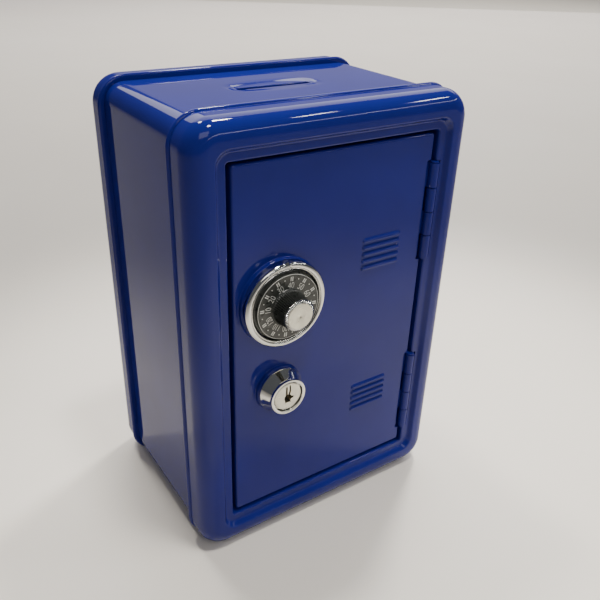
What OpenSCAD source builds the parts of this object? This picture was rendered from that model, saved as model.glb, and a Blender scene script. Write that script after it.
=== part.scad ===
// Toy safe coin bank: a sheet-metal cabinet with a hinged door, a three-wheel
// combination lock behind the dial, a key-operated cam lock and a coin slot.
// Frame: X to the right, Y from front to back, Z up. The origin is on the ground
// plane, at the middle of the width and of the whole depth, knob included.
// Everything stands as it does with the door shut and both locks released.

/* [Cabinet] */
// Height of the cabinet
body_h = 180; // [176:1:200]
// Width of the cabinet
body_w = 121; // [119:1:140]
// Depth of the cabinet, from the front crest to the back
body_d = 90; // [80:1:130]
// Thickness of the sheet metal
sheet = 0.8; // [0.7:0.1:0.8]
// Corner radius of the front and back caps, seen from the front
cap_corner_r = 12; // [11:0.5:14]
// Radius that rounds the outer edge of each cap
cap_edge_r = 8; // [6:0.5:8.5]
// Depth of the front cap's side wall
front_cap_d = 14.9; // [11:0.1:16]
// Depth of the back cap's side wall
back_cap_d = 15; // [11:0.5:20]
// How far the caps stand out from the sleeve
cap_proud = 2.5; // [1.8:0.1:3]
// Corner radius of the sleeve
sleeve_r = 8; // [7:0.5:9]

/* [Doorway] */
// Width of the front frame, from its outer edge to the doorway
frame_w = 15; // [14:0.1:16]
// Distance from the outer edge to the frame's inner step
step_at = 10.5; // [10:0.1:11]
// Corner radius of the inner step
step_r = 6; // [4:0.5:7]
// How far the ledge lies behind the crest
ledge_depth = 2.2; // [1.8:0.1:2.4]
// How far the jamb reaches behind the crest
jamb_depth = 11; // [10.8:0.1:11.2]

/* [Door] */
// How far the door's face lies behind the crest
door_recess = 3; // [2.8:0.1:3.2]
// Gap between the door and the doorway on the latch side
latch_gap = 2; // [1.8:0.1:2.2]
// Gap between the door and the doorway on the hinge side
hinge_gap = 1.5; // [1.3:0.1:1.7]
// Gap above and below the door
end_gap = 1.3; // [1:0.1:1.6]
// Depth of the door's folded edge
door_flange = 7; // [6:0.5:7]
// Height of the raised bosses under the dial and the lock
boss_h = 1.7; // [1.2:0.1:2]

/* [Hinges] */
// Outer radius of the hinge barrels
barrel_r = 2; // [1.9:0.05:2]
// Radius of the hinge pins
pin_r = 0.9; // [0.7:0.05:1]
// Length of one knuckle, with its share of the gap
knuckle = 10; // [9:0.5:10]
// Height of the lower barrel's bottom end
lower_hinge_z = 24.3; // [20:0.1:30]
// Height of the upper barrel's bottom end
upper_hinge_z = 112.2; // [105:0.1:118]

/* [Combination dial] */
// Sideways place of the dial's axis
dial_x = -24.3; // [-24.5:0.1:-23.5]
// Height of the dial's axis
dial_z = 110.5; // [108:0.1:113]
// Radius of the bezel
bezel_r = 17; // [16.5:0.1:17.5]
// Radius of the dial plate
dial_r = 13.7; // [13:0.1:13.7]
// How far the knob's face stands in front of the door
knob_reach = 14; // [13:0.1:15]
// Radius of the lock wheels
wheel_r = 16.5; // [16:0.1:16.6]
// Thickness of the lock wheels
wheel_t = 1.6; // [1.4:0.1:1.6]

/* [Key lock] */
// Sideways place of the lock's axis
lock_x = -24.5; // [-25:0.1:-24]
// Height of the lock's axis
lock_z = 72; // [71:0.1:74]
// Radius of the lock's cone where it meets the door
cone_r = 9.75; // [9:0.05:10]
// Radius of the lock's front ring
ring_r = 7.6; // [7.4:0.05:8]
// Length of the cam, from the lock's axis to its tip
cam_l = 24.5; // [24:0.1:26]

/* [Coin slot] */
// Length of the coin slot
slot_l = 32; // [26:1:36]
// Width of the coin slot
slot_w = 3; // [2.5:0.1:3.5]
// Length of the pressed dish around the slot
dish_l = 40; // [38:1:44]
// Width of the pressed dish
dish_w = 22; // [18:1:24]

/* [Hidden] */
$fn = 96;

// A cut reaches this far past the faces it opens.
cut = 1;
// Radial clearance of the turning fits.
run_gap = 0.05;
// Gap between parts that slide face to face.
face_gap = 0.2;

enamel = "#1f2a78";
chrome = "#c9ccd0";
steel = "#9a9ea3";
brass = "#b9954a";
black = "#17181a";

// Places along Y: the crest is the frame's foremost line.
crest_y = (knob_reach - door_recess - body_d) / 2;
back_y = crest_y + body_d;
door_y = crest_y + door_recess;

// Doorway and door edges.
open_x = body_w / 2 - frame_w;
open_z0 = frame_w;
open_z1 = body_h - frame_w;
door_x0 = -open_x + latch_gap;
door_x1 = open_x - hinge_gap;
door_z0 = open_z0 + end_gap;
door_z1 = open_z1 - end_gap;

// The hinge axis stands just in front of the door's face, in the gap.
hinge_x = open_x - 0.3;
hinge_y = door_y - 0.4;
barrel_l = 4 * knuckle;
notch_depth = 2.4;
notch_spare = 1;
knuckle_gap = 0.3;
leaf_reach = 13;

// Coin slot, close to the middle of the top.
slot_x = -1.3;
slot_y = (crest_y + back_y) / 2 + 1;
dish_d = 1.2;

// Wheel pack, as distances behind the door's face.
bush_r = 4;
nut_t = 2.5;
wheel_1 = 10.3;
wheel_space = 2;
wheel_2 = wheel_1 + wheel_t + wheel_space;
wheel_3 = wheel_2 + wheel_t + wheel_space;
bush_end = wheel_3 - 0.7;
hub_end = wheel_3 + wheel_t + 3.5;
bridge_at = hub_end + 0.6;
bridge_t = 1.2;
bridge_w = 12;
bridge_leg = 18.5;
spindle_r = 2;
spindle_end = bridge_at + bridge_t + 1.8;
gate_w = 10.4;
gate_floor = 10;
tab_r = 0.7;
tab_at = 9;
tab_l = 1.3;
tab_root = 0.5;
tab_angle = 7.5;
bezel_stud_at = 14.9;
bezel_stud_r = 0.7;
bridge_stud_at = bridge_leg + bridge_t + 3;
bridge_stud_r = 1.25;

// Dial and knob, as distances in front of the door's face.
dial_back = boss_h + 0.9;
dial_step = 4.5;
dial_front = 6.1;
face_r = 12.9;
hub_h = 0.3;
knob_r = 6.9;
knob_tip_r = 6.2;
cap_r = 6;
cap_face_r = 5.4;
cap_t = 1.3;

// Strike lug, in front of the wheels and behind the jamb.
lug_t = 1.2;
lug_at = 8.3;
lug_w = 8;
lug_tip_x = dial_x - wheel_r + 2;

// Key lock, as distances behind the door's face.
barrel_lock_r = 7;
plug_r = 5;
head_r = 6.25;
head_t = 2.4;
lock_front = 8;
housing_end = 8.2;
cam_at = 8.6;
cam_t = 1.5;
cam_w = 9;
drive_sq = 5.6;
wafer_count = 5;
wafer_t = 0.6;
wafer_w = 4.4;
wafer_h = 8.6;
wafer_pitch = 1.7;
wafer_at = -3.2;
key_w = 1.5;
key_h = 7.1;
key_mid = 0.95;

// ---------- shared helpers ----------

// Puts children on the door's face at (x, z): their +Z points to the front,
// so negative heights lie behind the door.
module on_door(x, z) {
    translate([x, door_y, z])
        rotate([90, 0, 0])
            children();
}

// Puts children on the crest plane, their +Z pointing to the front.
module on_crest() {
    translate([0, crest_y, 0])
        rotate([90, 0, 0])
            children();
}

// Extrudes a flat outline from depth `at` backwards by `t`.
module plate(at, t) {
    translate([0, 0, -at - t])
        linear_extrude(t)
            children();
}

// A disc or rod from depth `at` backwards by `t`.
module rod(r, at, t) {
    translate([0, 0, -at - t])
        cylinder(r = r, h = t);
}

// A flat ring from depth `at` backwards by `t`.
module washer(r_out, r_in, at, t) {
    difference() {
        rod(r_out, at, t);
        rod(r_in, at - cut, t + 2 * cut);
    }
}

// A hexagon nut with its bore.
module hex_nut(flats, r_in, at, t) {
    difference() {
        translate([0, 0, -at - t])
            cylinder(r = flats / sqrt(3), h = t, $fn = 6);
        rod(r_in, at - cut, t + 2 * cut);
    }
}

// The cabinet's outline, drawn in by `inset`, with corners of radius r.
module outline(inset, r) {
    w = body_w - 2 * inset;
    h = body_h - 2 * inset;
    translate([0, body_h / 2]) {
        square([w - 2 * r, h], center = true);
        square([w, h - 2 * r], center = true);
        for (sx = [-1, 1], sy = [-1, 1])
            translate([sx * (w / 2 - r), sy * (h / 2 - r)])
                circle(r = r);
    }
}

// Sweeps a profile around the cabinet's outline. In the profile, x is the
// distance inwards from the outer edge and y the depth.
module sweep_outline() {
    r = cap_corner_r;
    side_w = body_w - 2 * r;
    side_h = body_h - 2 * r;
    for (turn = [0, 180]) {
        translate([0, 0, body_h / 2])
            rotate([0, turn, 0])
                translate([-body_w / 2, 0, -side_h / 2])
                    linear_extrude(side_h)
                        children();
        translate([0, 0, body_h / 2])
            rotate([0, turn + 90, 0])
                translate([-body_h / 2, 0, -side_w / 2])
                    linear_extrude(side_w)
                        children();
    }
    for (corner = [0:3])
        translate([
            (corner == 0 || corner == 3 ? 1 : -1) * side_w / 2,
            0,
            body_h / 2 + (corner < 2 ? 1 : -1) * side_h / 2
        ])
            rotate([-90, 0, 0])
                rotate([0, 0, -90 * corner - 90])
                    rotate_extrude(angle = 90)
                        intersection() {
                            translate([r, 0])
                                mirror([1, 0])
                                    children();
                            translate([0, -cut])
                                square([r, body_d]);
                        }
}

// Cross-section of a cap's side wall and rounded edge, from depth 0 on.
module cap_profile(wall_d) {
    intersection() {
        difference() {
            translate([cap_edge_r, cap_edge_r])
                circle(r = cap_edge_r);
            translate([cap_edge_r, cap_edge_r])
                circle(r = cap_edge_r - sheet);
        }
        square(cap_edge_r);
    }
    translate([0, cap_edge_r])
        square([sheet, wall_d - cap_edge_r]);
}

// The lip that closes a cap's side wall down to the sleeve.
module cap_lip(at) {
    plate(at, sheet)
        difference() {
            outline(sheet / 2, cap_corner_r - sheet / 2);
            outline(cap_proud, sleeve_r);
        }
}

// ---------- cabinet ----------

// A body of revolution that cuts, or backs, the dish around the coin slot.
module dish_form(grow) {
    r_long = pow(dish_l / 2, 2) / (2 * dish_d) + grow;
    r_short = pow(dish_w / 2, 2) / (2 * dish_d) + grow;
    translate([slot_x, slot_y, body_h - cap_proud - dish_d - grow + r_long])
        rotate([90, 0, 0])
            rotate_extrude(angle = 360)
                intersection() {
                    translate([r_long - r_short, 0])
                        circle(r = r_short);
                    translate([0, -r_short])
                        square([r_long, 2 * r_short]);
                }
}

module body_sleeve() {
    sleeve_in = 5;
    sleeve_l = body_d - 2 * sleeve_in;
    top = body_h - cap_proud;
    color(enamel)
        difference() {
            union() {
                on_crest()
                    plate(sleeve_in, sleeve_l)
                        difference() {
                            outline(cap_proud, sleeve_r);
                            outline(cap_proud + sheet, sleeve_r - sheet);
                        }
                intersection() {
                    dish_form(sheet);
                    translate([slot_x - dish_l / 2, slot_y - dish_w / 2, top - 2.5])
                        cube([dish_l, dish_w, 2.5 - sheet / 2]);
                }
            }
            intersection() {
                dish_form(0);
                translate([slot_x - dish_l, slot_y - dish_w, top - 3])
                    cube([2 * dish_l, 2 * dish_w, 4]);
            }
            translate([slot_x - slot_l / 2, slot_y - slot_w / 2, top - 6])
                cube([slot_l, slot_w, 12]);
        }
}

module doorway(grow) {
    translate([-open_x - grow, open_z0 - grow])
        square([2 * (open_x + grow), open_z1 - open_z0 + 2 * grow]);
}

module front_frame() {
    color(enamel)
        difference() {
            union() {
                translate([0, crest_y, 0])
                    sweep_outline()
                        cap_profile(front_cap_d);
                on_crest() {
                    cap_lip(front_cap_d - sheet);
                    plate(0, sheet)
                        difference() {
                            outline(cap_edge_r, cap_corner_r - cap_edge_r);
                            outline(step_at, step_r);
                        }
                    plate(0, ledge_depth + sheet)
                        difference() {
                            outline(step_at - sheet, step_r + sheet);
                            outline(step_at, step_r);
                        }
                    plate(ledge_depth, sheet)
                        difference() {
                            outline(step_at - sheet, step_r + sheet);
                            doorway(0);
                        }
                    plate(ledge_depth, jamb_depth - ledge_depth)
                        difference() {
                            doorway(sheet);
                            doorway(0);
                        }
                }
            }
            for (z = [lower_hinge_z, upper_hinge_z])
                translate([open_x - cut, crest_y - cut, z - 0.6])
                    cube([cut + 2.3, hinge_y + barrel_r + 0.4 - crest_y + cut, barrel_l + 1.2]);
        }
}

module back_cover() {
    color(enamel) {
        translate([0, back_y, 0])
            mirror([0, 1, 0])
                sweep_outline()
                    cap_profile(back_cap_d);
        on_crest() {
            cap_lip(body_d - back_cap_d);
            plate(body_d - sheet, sheet)
                outline(cap_edge_r, cap_corner_r - cap_edge_r);
        }
    }
}

// The lug that the wheels must let through before the door can open.
module strike_lug() {
    base_h = 18;
    base_x = -open_x - sheet - lug_t;
    color(steel)
        on_door(0, dial_z) {
            translate([0, -base_h / 2, -lug_at - lug_t])
                translate([base_x, 0, 0])
                    cube([lug_t, base_h, lug_at + lug_t - 1.5]);
            translate([base_x, -lug_w / 2, -lug_at - lug_t])
                cube([lug_tip_x - base_x, lug_w, lug_t]);
        }
}

// ---------- hinges ----------

// One knuckle of a barrel that starts at height z.
module knuckle_ring(z, i, bore) {
    translate([hinge_x, hinge_y, z + i * knuckle + knuckle_gap / 2])
        difference() {
            cylinder(r = barrel_r, h = knuckle - knuckle_gap);
            translate([0, 0, -cut])
                cylinder(r = bore, h = knuckle + 2 * cut);
        }
}

module frame_hinge_leaf(z) {
    leaf_x = open_x + sheet;
    leaf_t = hinge_x + barrel_r - leaf_x - 0.1;
    plate_y0 = hinge_y + barrel_r + 0.2;
    plate_y1 = crest_y + jamb_depth - 0.5;
    color(enamel)
        difference() {
            union() {
                for (i = [0, 2]) {
                    knuckle_ring(z, i, pin_r);
                    translate([leaf_x, hinge_y, z + i * knuckle + knuckle_gap / 2])
                        cube([leaf_t, plate_y0 - hinge_y + cut, knuckle - knuckle_gap]);
                }
                translate([leaf_x, plate_y0, z])
                    cube([leaf_t, plate_y1 - plate_y0, barrel_l]);
            }
            translate([hinge_x, hinge_y, z - cut])
                cylinder(r = pin_r, h = barrel_l + 2 * cut);
        }
}

module door_hinge_leaf(z) {
    leaf_y = door_y + sheet;
    color(enamel)
        difference() {
            union() {
                for (i = [1, 3]) {
                    knuckle_ring(z, i, pin_r + run_gap);
                    translate([hinge_x - barrel_r - 1, leaf_y, z + i * knuckle + knuckle_gap / 2])
                        cube([barrel_r + 1, sheet, knuckle - knuckle_gap]);
                }
                translate([hinge_x - leaf_reach, leaf_y, z])
                    cube([leaf_reach - barrel_r - 0.3, sheet, barrel_l]);
            }
            translate([hinge_x, hinge_y, z - cut])
                cylinder(r = pin_r + run_gap, h = barrel_l + 2 * cut);
        }
}

module hinge_pin(z) {
    head = 0.5;
    color(steel)
        translate([hinge_x, hinge_y, z - head]) {
            cylinder(r = pin_r, h = barrel_l + 2 * head);
            cylinder(r = barrel_r - 0.4, h = head);
            translate([0, 0, barrel_l + head])
                cylinder(r = barrel_r - 0.4, h = head);
        }
}

// ---------- door ----------

// One raised louvre rib, centred at (x, z).
module louvre(x, z) {
    louvre_l = 18.4;
    louvre_r = 0.95;
    straight = louvre_l - 2 * louvre_r;
    on_door(x, z) {
        rotate([0, 90, 0])
            cylinder(r = louvre_r, h = straight, center = true);
        for (s = [-1, 1])
            translate([s * straight / 2, 0, 0])
                sphere(r = louvre_r);
    }
}

// A round boss pressed out of the door, hollow behind.
module boss_skin(r) {
    translate([0, 0, -sheet])
        cylinder(r = r, h = boss_h + sheet);
}

module boss_hollow(r) {
    translate([0, 0, -sheet - cut])
        cylinder(r = r - sheet, h = boss_h + cut);
}

module door_pan() {
    w = door_x1 - door_x0;
    h = door_z1 - door_z0;
    translate([door_x0, door_y, door_z0])
        difference() {
            cube([w, door_flange, h]);
            translate([sheet, sheet, sheet])
                cube([w - 2 * sheet, door_flange, h - 2 * sheet]);
        }
}

module door_panel() {
    dial_boss_r = bezel_r + 0.6;
    lock_boss_r = cone_r + 1;
    louvre_pitch = 2.9;
    louvre_x = 22;
    color(enamel)
        difference() {
            union() {
                door_pan();
                on_door(dial_x, dial_z) {
                    boss_skin(dial_boss_r);
                    for (s = [-1, 1])
                        translate([0, s * bridge_stud_at, 0])
                            rod(bridge_stud_r, sheet / 2, 5.6);
                }
                on_door(lock_x, lock_z)
                    boss_skin(lock_boss_r);
                for (z = [46, 114.1], i = [0:4])
                    intersection() {
                        louvre(louvre_x, z + i * louvre_pitch);
                        translate([door_x0, door_y - 2, door_z0])
                            cube([door_x1 - door_x0, 2 + sheet, door_z1 - door_z0]);
                    }
            }
            on_door(dial_x, dial_z) {
                boss_hollow(dial_boss_r);
                rod(bush_r, -boss_h - cut, boss_h + sheet + 2 * cut);
                for (s = [-1, 1])
                    translate([s * bezel_stud_at, 0, 0])
                        rod(bezel_stud_r, -boss_h - cut, boss_h + sheet + 2 * cut);
            }
            on_door(lock_x, lock_z) {
                boss_hollow(lock_boss_r);
                rod(barrel_lock_r, -boss_h - cut, boss_h + sheet + 2 * cut);
            }
            for (z = [lower_hinge_z, upper_hinge_z])
                translate([door_x1 - notch_depth, door_y - cut, z - notch_spare])
                    cube([notch_depth + cut, door_flange + 2 * cut, barrel_l + 2 * notch_spare]);
        }
}

// ---------- dial, spindle and wheel pack ----------

module dial_bezel() {
    front = 5.4;
    color(chrome)
        on_door(dial_x, dial_z) {
            difference() {
                union() {
                    translate([0, 0, boss_h])
                        cylinder(r = bezel_r, h = 1.5);
                    translate([0, 0, boss_h + 1.5])
                        cylinder(r1 = bezel_r, r2 = bezel_r - 1.3, h = front - boss_h - 1.5);
                    translate([-0.6, bezel_r - 2.6, boss_h])
                        cube([1.2, 2.2, front - boss_h + 0.5]);
                }
                cylinder(r = dial_r + 0.3, h = front + 2 * cut);
            }
            for (s = [-1, 1])
                translate([s * bezel_stud_at, 0, 0])
                    rod(bezel_stud_r, -boss_h - 0.5, boss_h + 5);
        }
}

module bezel_nuts() {
    color(steel)
        on_door(dial_x, dial_z)
            for (s = [-1, 1])
                translate([s * bezel_stud_at, 0, 0])
                    hex_nut(3, bezel_stud_r, sheet - boss_h, 1.2);
}

// Flanged bush: the spindle turns inside it and the tumbler wheels on it.
module spindle_bush() {
    color(brass)
        on_door(dial_x, dial_z)
            difference() {
                union() {
                    rod(6.5, -boss_h - 0.5, 0.5);
                    rod(bush_r, -boss_h, boss_h + bush_end);
                }
                rod(spindle_r + run_gap, -boss_h - cut, boss_h + bush_end + 2 * cut);
                washer(bush_r + cut, bush_r - 0.5, wheel_2 + wheel_t + face_gap, 0.6);
            }
}

module bush_nut() {
    color(brass)
        on_door(dial_x, dial_z)
            hex_nut(11, bush_r, sheet - boss_h, nut_t);
}

module wheel_spacers() {
    first_at = sheet - boss_h + nut_t;
    color(steel)
        on_door(dial_x, dial_z) {
            washer(5.4, bush_r, first_at, wheel_1 - face_gap - first_at);
            washer(6, bush_r, wheel_1 + wheel_t + face_gap, wheel_space - 2 * face_gap);
        }
}

// An open spring clip that snaps into a groove.
module snap_clip(r_out, r_in, at, t, opening) {
    difference() {
        washer(r_out, r_in, at, t);
        translate([0, -opening / 2, -at - t - cut])
            cube([r_out + cut, opening, t + 2 * cut]);
    }
}

module bush_clip() {
    color(steel)
        on_door(dial_x, dial_z)
            snap_clip(6, bush_r - 0.5, wheel_2 + wheel_t + face_gap, 0.6, 5);
}

// U-shaped bridge that carries the spindle's inner end.
module wheel_bridge() {
    foot_l = 7;
    leg_end = bridge_at + bridge_t;
    color(steel)
        on_door(dial_x, dial_z)
            difference() {
                union() {
                    translate([-bridge_w / 2, -bridge_leg - bridge_t, -leg_end])
                        cube([bridge_w, 2 * (bridge_leg + bridge_t), bridge_t]);
                    for (s = [0, 1])
                        mirror([0, s, 0]) {
                            translate([-bridge_w / 2, bridge_leg, -leg_end])
                                cube([bridge_w, bridge_t, leg_end - sheet]);
                            translate([-bridge_w / 2, bridge_leg, -sheet - bridge_t])
                                cube([bridge_w, foot_l, bridge_t]);
                        }
                }
                rod(spindle_r + run_gap, bridge_at - cut, bridge_t + 2 * cut);
                for (s = [-1, 1])
                    translate([0, s * bridge_stud_at, 0])
                        rod(bridge_stud_r, 0, sheet + bridge_t + cut);
            }
}

module bridge_nuts() {
    color(steel)
        on_door(dial_x, dial_z)
            for (s = [-1, 1])
                translate([0, s * bridge_stud_at, 0])
                    hex_nut(5, bridge_stud_r, sheet + bridge_t, 2);
}

module dial_plate() {
    color(black)
        on_door(dial_x, dial_z)
            difference() {
                union() {
                    translate([0, 0, dial_back])
                        cylinder(r = dial_r, h = dial_step - dial_back);
                    translate([0, 0, dial_step - 0.1])
                        cylinder(r = face_r, h = dial_front - dial_step + 0.1);
                    translate([0, 0, dial_front])
                        cylinder(r1 = knob_r + 0.7, r2 = knob_r + 0.3, h = hub_h);
                }
                cylinder(r = spindle_r, h = dial_front + 2 * cut);
            }
}

module dial_knob() {
    flutes = 36;
    flute_r = 0.4;
    base = dial_front + hub_h;
    color(black)
        on_door(dial_x, dial_z)
            difference() {
                translate([0, 0, base])
                    cylinder(r1 = knob_r, r2 = knob_tip_r, h = knob_reach - cap_t - base);
                for (i = [0:flutes - 1])
                    rotate([0, 0, i * 360 / flutes])
                        translate([knob_r + 0.1, 0, base - cut])
                            rotate([0, -atan((knob_r - knob_tip_r) / (knob_reach - cap_t - base)), 0])
                                cylinder(r = flute_r, h = knob_reach + 2 * cut);
                translate([0, 0, base - cut])
                    cylinder(r = spindle_r, h = knob_reach - base - 3 + cut);
            }
}

module knob_cap() {
    color(chrome)
        on_door(dial_x, dial_z)
            translate([0, 0, knob_reach - cap_t])
                cylinder(r1 = cap_r, r2 = cap_face_r, h = cap_t);
}

module dial_spindle() {
    color(steel)
        on_door(dial_x, dial_z)
            difference() {
                rod(spindle_r, 3 - knob_reach, knob_reach - 3 + spindle_end);
                washer(spindle_r + cut, spindle_r - 0.5, bridge_at + bridge_t + 0.2, 0.6);
                drive_pin_form(0);
            }
}

module drive_pin_form(spare) {
    translate([0, 0, -(wheel_3 + wheel_t + hub_end) / 2])
        rotate([90, 0, 0])
            cylinder(r = 0.6, h = 8 + spare, center = true);
}

// A round wheel with a gate for the lug on the latch side.
module gated_wheel(r_in, at) {
    difference() {
        rod(wheel_r, at, wheel_t);
        rod(r_in, at - cut, wheel_t + 2 * cut);
        translate([-wheel_r - cut, -gate_w / 2, -at - wheel_t - cut])
            cube([wheel_r + cut - gate_floor, gate_w, wheel_t + 2 * cut]);
    }
}

// A pick-up tab, riveted into a wheel and standing out of one of its faces to
// push the neighbouring wheel round. `at` is its foremost depth.
module tab(angle, at) {
    rotate([0, 0, angle])
        translate([tab_at, 0, 0])
            rod(tab_r, at, tab_l + tab_root);
}

module drive_wheel() {
    color(steel)
        on_door(dial_x, dial_z)
            difference() {
                union() {
                    gated_wheel(spindle_r, wheel_3);
                    washer(4, spindle_r, wheel_3 + wheel_t - 0.1, hub_end - wheel_3 - wheel_t + 0.1);
                    tab(90 + tab_angle, wheel_3 - tab_l);
                }
                drive_pin_form(cut);
            }
}

module drive_pin() {
    color(steel)
        on_door(dial_x, dial_z)
            drive_pin_form(0);
}

module spindle_clip() {
    color(steel)
        on_door(dial_x, dial_z)
            snap_clip(3.6, spindle_r - 0.5, bridge_at + bridge_t + 0.2, 0.6, 2.6);
}

module tumbler_wheel_front() {
    color(brass)
        on_door(dial_x, dial_z) {
            gated_wheel(bush_r + run_gap, wheel_1);
            tab(-90 + tab_angle, wheel_1 + wheel_t - tab_root);
        }
}

module tumbler_wheel_rear() {
    color(brass)
        on_door(dial_x, dial_z) {
            gated_wheel(bush_r + run_gap, wheel_2);
            tab(-90 - tab_angle, wheel_2 - tab_l);
            tab(90 - tab_angle, wheel_2 + wheel_t - tab_root);
        }
}

// ---------- key lock ----------

module lock_housing() {
    color(chrome)
        on_door(lock_x, lock_z)
            difference() {
                union() {
                    translate([0, 0, boss_h])
                        cylinder(r = cone_r, h = 1);
                    translate([0, 0, boss_h + 1])
                        cylinder(r1 = cone_r, r2 = ring_r, h = lock_front - boss_h - 1);
                    rod(barrel_lock_r, -boss_h - 0.5, boss_h + 0.5 + housing_end);
                }
                rod(plug_r, -lock_front - cut, lock_front + housing_end + 2 * cut);
                rod(head_r, -lock_front - cut, head_t + 0.1 + cut);
            }
}

module lock_washer() {
    color(steel)
        on_door(lock_x, lock_z)
            washer(10.5, barrel_lock_r, sheet, 0.8);
}

module lock_nut() {
    color(steel)
        on_door(lock_x, lock_z)
            hex_nut(18, barrel_lock_r, sheet + 0.8, 3);
}

module keyway() {
    translate([-key_w / 2, key_mid - key_h / 2, -4.5])
        cube([key_w, key_h, lock_front + 4.5 + cut]);
    translate([0, -0.8, lock_front - 2])
        cylinder(r = 1.7, h = 2 + cut);
}

// The plug that the key turns, with its square tail for the cam.
module lock_cylinder() {
    recess = 0.4;
    shank_end = cam_at - 0.2;
    color(chrome)
        on_door(lock_x, lock_z)
            difference() {
                union() {
                    rod(head_r - 0.1, recess - lock_front, head_t - recess);
                    rod(plug_r - run_gap, recess - lock_front, lock_front - recess + shank_end);
                    translate([-drive_sq / 2, -drive_sq / 2, -cam_at - cam_t])
                        cube([drive_sq, drive_sq, cam_t + 0.4]);
                }
                keyway();
                for (i = [0:wafer_count - 1])
                    translate([-wafer_w / 2, -wafer_h / 2, -wafer_at - i * wafer_pitch - wafer_t])
                        cube([wafer_w, wafer_h, wafer_t]);
                rod(1.5, cam_at + cam_t - 5, 5 + cut);
            }
}

module lock_wafers() {
    color(brass)
        on_door(lock_x, lock_z)
            for (i = [0:wafer_count - 1])
                translate([0, 0, -wafer_at - i * wafer_pitch - wafer_t / 2])
                    difference() {
                        cube([wafer_w - 0.2, wafer_h - 0.4, wafer_t - 0.1], center = true);
                        translate([0, key_mid + (i % 3 - 1) * 0.3, 0])
                            cube([key_w + 0.6, key_h - 2.1, wafer_t + cut], center = true);
                    }
}

// The cam hangs down when the lock is open and turns behind the jamb to lock.
module lock_cam() {
    tip_r = cam_w / 2;
    color(steel)
        on_door(lock_x, lock_z)
            plate(cam_at, cam_t)
                difference() {
                    union() {
                        circle(r = 7);
                        translate([-cam_w / 2, -cam_l + tip_r])
                            square([cam_w, cam_l - tip_r]);
                        translate([0, -cam_l + tip_r])
                            circle(r = tip_r);
                    }
                    square(drive_sq, center = true);
                }
}

module cam_screw() {
    head_at = cam_at + cam_t;
    color(steel)
        on_door(lock_x, lock_z)
            difference() {
                union() {
                    rod(4.2, head_at, 1.8);
                    rod(1.5, head_at - 4.6, 4.7);
                }
                for (turn = [0, 90])
                    rotate([0, 0, turn])
                        translate([-2.2, -0.4, -head_at - 1.8 - cut])
                            cube([4.4, 0.8, 0.9 + cut]);
            }
}

// ---------- nodes ----------

body_sleeve();
front_frame();
back_cover();
strike_lug();
frame_hinge_leaf(upper_hinge_z);  // frame_hinge_leaf_upper
frame_hinge_leaf(lower_hinge_z);  // frame_hinge_leaf_lower
hinge_pin(upper_hinge_z);  // hinge_pin_upper
hinge_pin(lower_hinge_z);  // hinge_pin_lower
door_panel();
door_hinge_leaf(upper_hinge_z);  // door_hinge_leaf_upper
door_hinge_leaf(lower_hinge_z);  // door_hinge_leaf_lower
dial_bezel();
bezel_nuts();
spindle_bush();
bush_nut();
wheel_spacers();
bush_clip();
wheel_bridge();
bridge_nuts();
dial_plate();
dial_knob();
knob_cap();
dial_spindle();
drive_wheel();
drive_pin();
spindle_clip();
tumbler_wheel_front();
tumbler_wheel_rear();
lock_housing();
lock_washer();
lock_nut();
lock_cylinder();
lock_wafers();
lock_cam();
cam_screw();
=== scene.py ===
"""Looks of a toy safe coin bank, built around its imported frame.

Lengths are millimetres until a mesh is made, where MM turns them into metres. X points to the
right, the front is -Y and Z is up. A point on the door is given as (u, v, f): u to the right of
an axis, v above it, and f in front of the door's face.
"""

import math

import bmesh
import bpy
from mathutils import Matrix, Vector
from mathutils.geometry import delaunay_2d_cdt


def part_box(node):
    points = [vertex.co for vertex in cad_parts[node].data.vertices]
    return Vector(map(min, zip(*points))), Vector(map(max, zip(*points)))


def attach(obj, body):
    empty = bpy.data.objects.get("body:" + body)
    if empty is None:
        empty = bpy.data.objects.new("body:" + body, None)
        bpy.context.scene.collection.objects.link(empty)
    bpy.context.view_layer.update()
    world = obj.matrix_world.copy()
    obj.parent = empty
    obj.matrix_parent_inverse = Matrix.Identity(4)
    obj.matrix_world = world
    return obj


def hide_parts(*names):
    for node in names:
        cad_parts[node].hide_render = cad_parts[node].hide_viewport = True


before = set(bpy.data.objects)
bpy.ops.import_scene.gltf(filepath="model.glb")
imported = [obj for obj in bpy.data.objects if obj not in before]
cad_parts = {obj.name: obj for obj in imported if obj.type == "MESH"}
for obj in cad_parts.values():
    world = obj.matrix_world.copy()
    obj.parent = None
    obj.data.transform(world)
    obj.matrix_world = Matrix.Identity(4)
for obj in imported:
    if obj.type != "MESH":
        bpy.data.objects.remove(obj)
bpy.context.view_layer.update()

MM = 0.001

# ---------- sizes taken from the frame ----------


def box_mm(node):
    """Lowest and highest corner of a CAD node, in millimetres."""
    low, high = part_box(node)
    return low / MM, high / MM


def middle_of(node):
    low, high = box_mm(node)
    return (low + high) / 2


FRAME_LOW, FRAME_HIGH = box_mm("front_frame")
BACK_LOW, BACK_HIGH = box_mm("back_cover")
SLEEVE_LOW, SLEEVE_HIGH = box_mm("body_sleeve")
DOOR_LOW, DOOR_HIGH = box_mm("door_panel")

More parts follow.
